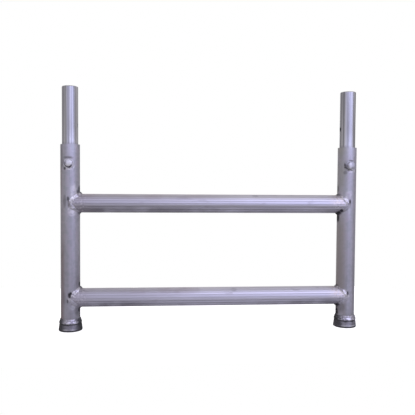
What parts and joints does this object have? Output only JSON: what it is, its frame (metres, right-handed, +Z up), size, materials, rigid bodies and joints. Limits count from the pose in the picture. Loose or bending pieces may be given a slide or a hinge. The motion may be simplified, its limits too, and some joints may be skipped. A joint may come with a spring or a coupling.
{
  "type": "scaffold frame",
  "caption": "Half-height welded aluminium scaffold frame: tube uprights joined by ribbed rungs, bolted spigots on top and collared feet.",
  "frame": {"origin": "on the floor, midway between the two upright centre lines", "axes": "+X along the rungs to the right-hand upright, +Y to the back where the nuts are, +Z up along the uprights"},
  "size_m": [0.8178, 0.0759, 0.65],
  "materials": {
    "upright_tube": "satin, weathered",
    "ribbed_rung": "satin, ribbed extrusion",
    "spigot_tube": "polished by wear",
    "weld_bead": "rippled bead",
    "foot_collar": "dull, dirty",
    "plated_fastener": "plated"
  },
  "bodies": {
    "root": {"left_upright": "upright_tube", "left_spigot": "spigot_tube", "right_upright": "upright_tube", "right_spigot": "spigot_tube", "lower_rung": "ribbed_rung", "lower_rung_welds": "weld_bead", "upper_rung": "ribbed_rung", "upper_rung_welds": "weld_bead", "foot_collars": "foot_collar", "foot_welds": "weld_bead", "spigot_bolts": "plated_fastener", "bolt_washers": "plated_fastener", "spigot_nuts": "plated_fastener"}
  },
  "joints": []
}
